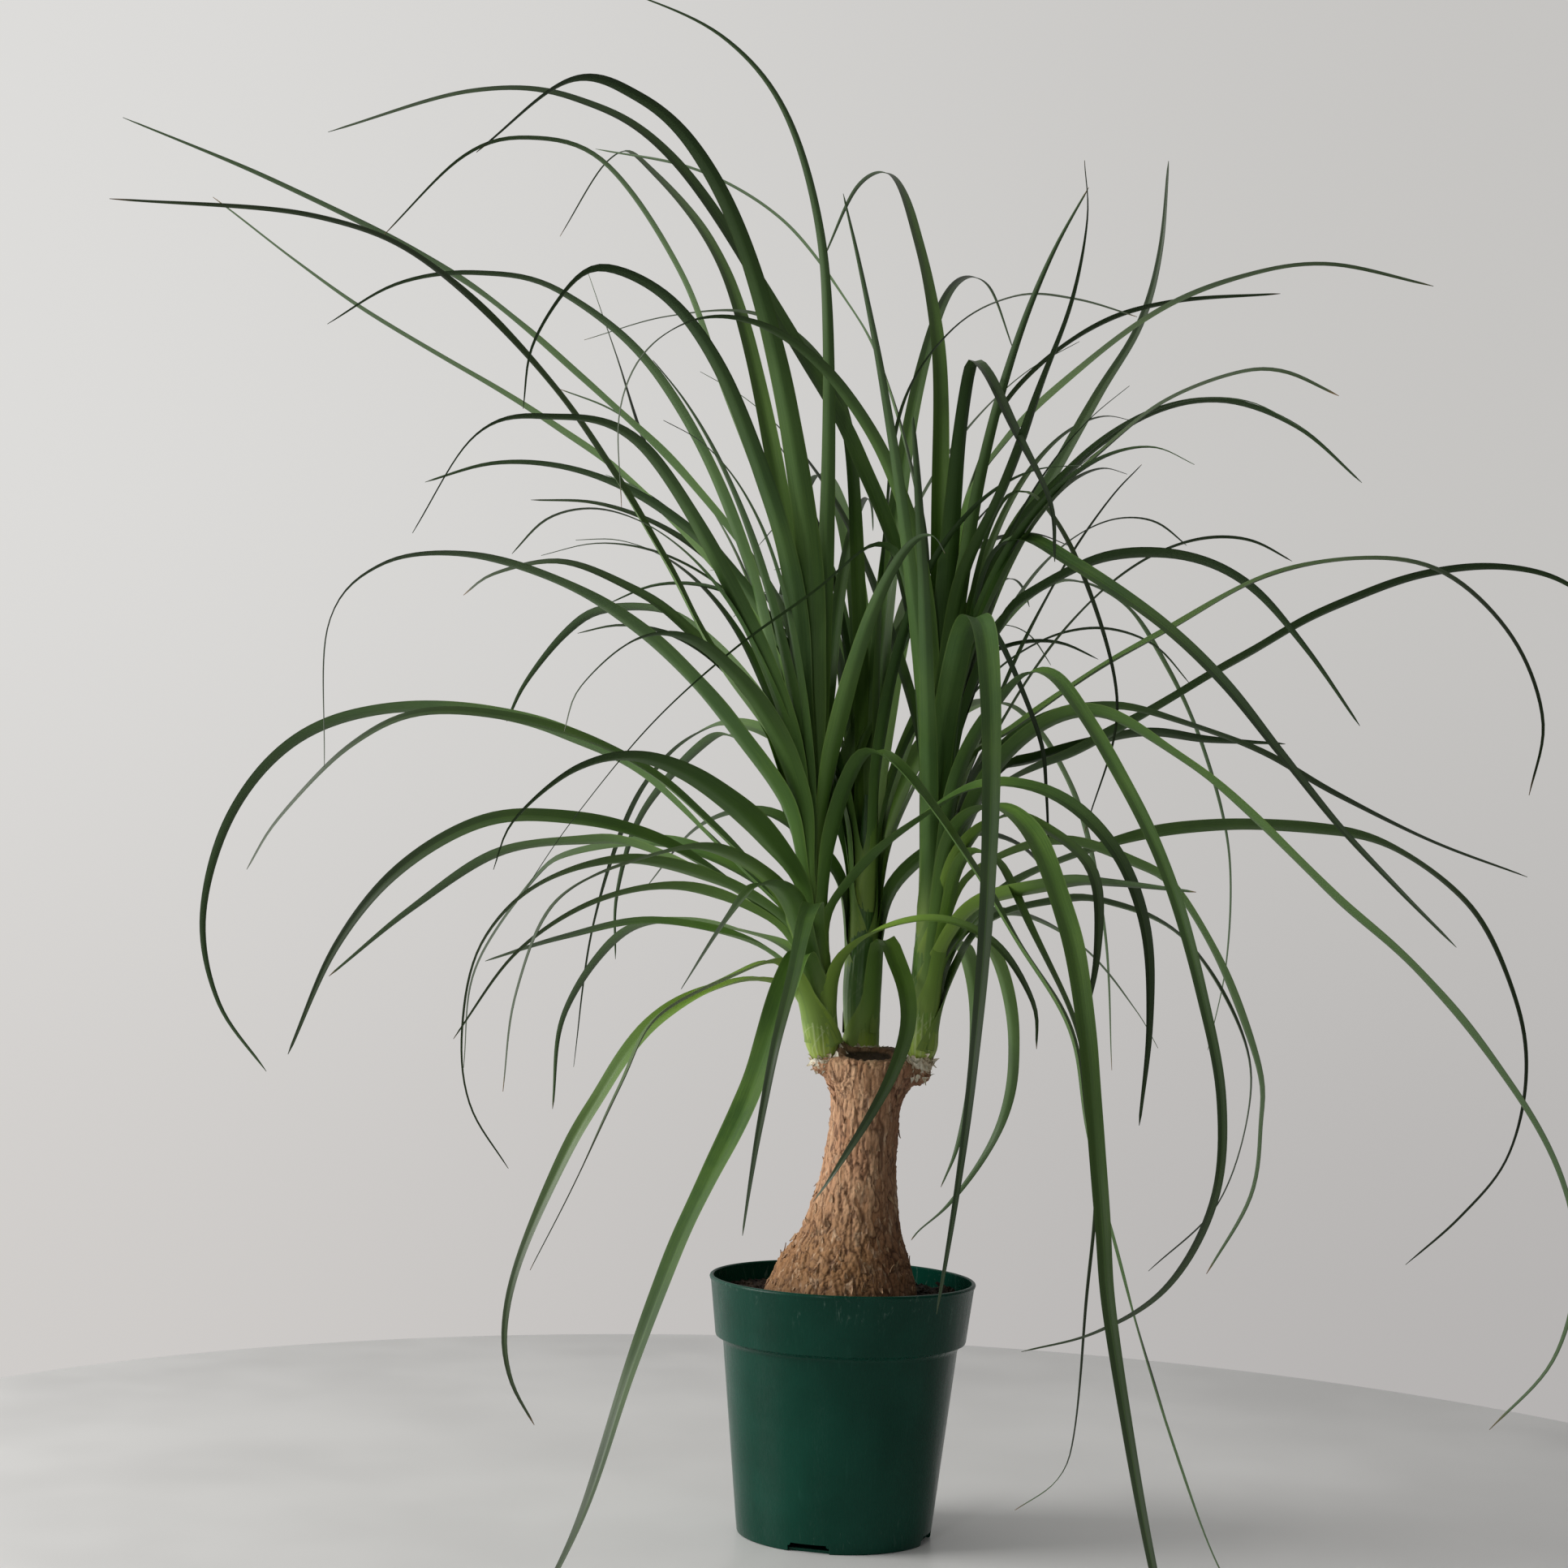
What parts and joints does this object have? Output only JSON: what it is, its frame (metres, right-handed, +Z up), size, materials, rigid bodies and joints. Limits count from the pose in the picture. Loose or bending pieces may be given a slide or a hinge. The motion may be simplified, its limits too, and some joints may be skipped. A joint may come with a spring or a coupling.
{
  "type": "potted ponytail palm",
  "caption": "Potted ponytail palm: a swollen woody stem with leafy shoots and long arching strap leaves, in a tapered plastic nursery pot.",
  "frame": {"origin": "centre of the pot's flat bottom, on the surface that it stands on", "axes": "+Z up along the pot's axis, +X to the plant's right seen from the front, +Y to the back"},
  "size_m": [0.9467, 0.8115, 0.8614],
  "materials": {
    "pot_plastic": "satin dark green, lightly scuffed",
    "soil": "dark, crumbly potting mix",
    "bark": "matt tan bark with dark fissures and papery flakes",
    "shoot_green": "satin yellow-green leaf bases",
    "leaf_green": "satin, finely veined green"
  },
  "bodies": {
    "root": {"nursery_pot": "pot_plastic", "potting_soil": "soil", "trunk": "bark", "left_shoot": "shoot_green", "left_leaf_01": "leaf_green", "left_leaf_02": "leaf_green", "left_leaf_03": "leaf_green", "left_leaf_04": "leaf_green", "left_leaf_05": "leaf_green", "left_leaf_06": "leaf_green", "left_leaf_07": "leaf_green", "left_leaf_08": "leaf_green", "left_leaf_09": "leaf_green", "left_leaf_10": "leaf_green", "left_leaf_11": "leaf_green", "left_leaf_12": "leaf_green", "left_leaf_13": "leaf_green", "left_leaf_14": "leaf_green", "left_leaf_15": "leaf_green", "left_leaf_16": "leaf_green", "left_leaf_17": "leaf_green", "left_leaf_18": "leaf_green", "left_leaf_19": "leaf_green", "left_leaf_20": "leaf_green", "left_leaf_21": "leaf_green", "left_leaf_22": "leaf_green", "left_leaf_23": "leaf_green", "middle_shoot": "shoot_green", "middle_leaf_01": "leaf_green", "middle_leaf_02": "leaf_green", "middle_leaf_03": "leaf_green", "middle_leaf_04": "leaf_green", "middle_leaf_05": "leaf_green", "middle_leaf_06": "leaf_green", "middle_leaf_07": "leaf_green", "middle_leaf_08": "leaf_green", "right_shoot": "shoot_green", "right_leaf_01": "leaf_green", "right_leaf_02": "leaf_green", "right_leaf_03": "leaf_green", "right_leaf_04": "leaf_green", "right_leaf_05": "leaf_green", "right_leaf_06": "leaf_green", "right_leaf_07": "leaf_green", "right_leaf_08": "leaf_green", "right_leaf_09": "leaf_green", "right_leaf_10": "leaf_green", "right_leaf_11": "leaf_green", "right_leaf_12": "leaf_green", "right_leaf_13": "leaf_green", "right_leaf_14": "leaf_green", "right_leaf_15": "leaf_green", "right_leaf_16": "leaf_green", "right_leaf_17": "leaf_green", "right_leaf_18": "leaf_green", "right_leaf_19": "leaf_green", "right_leaf_20": "leaf_green", "right_leaf_21": "leaf_green", "right_leaf_22": "leaf_green", "right_leaf_23": "leaf_green"}
  },
  "joints": []
}
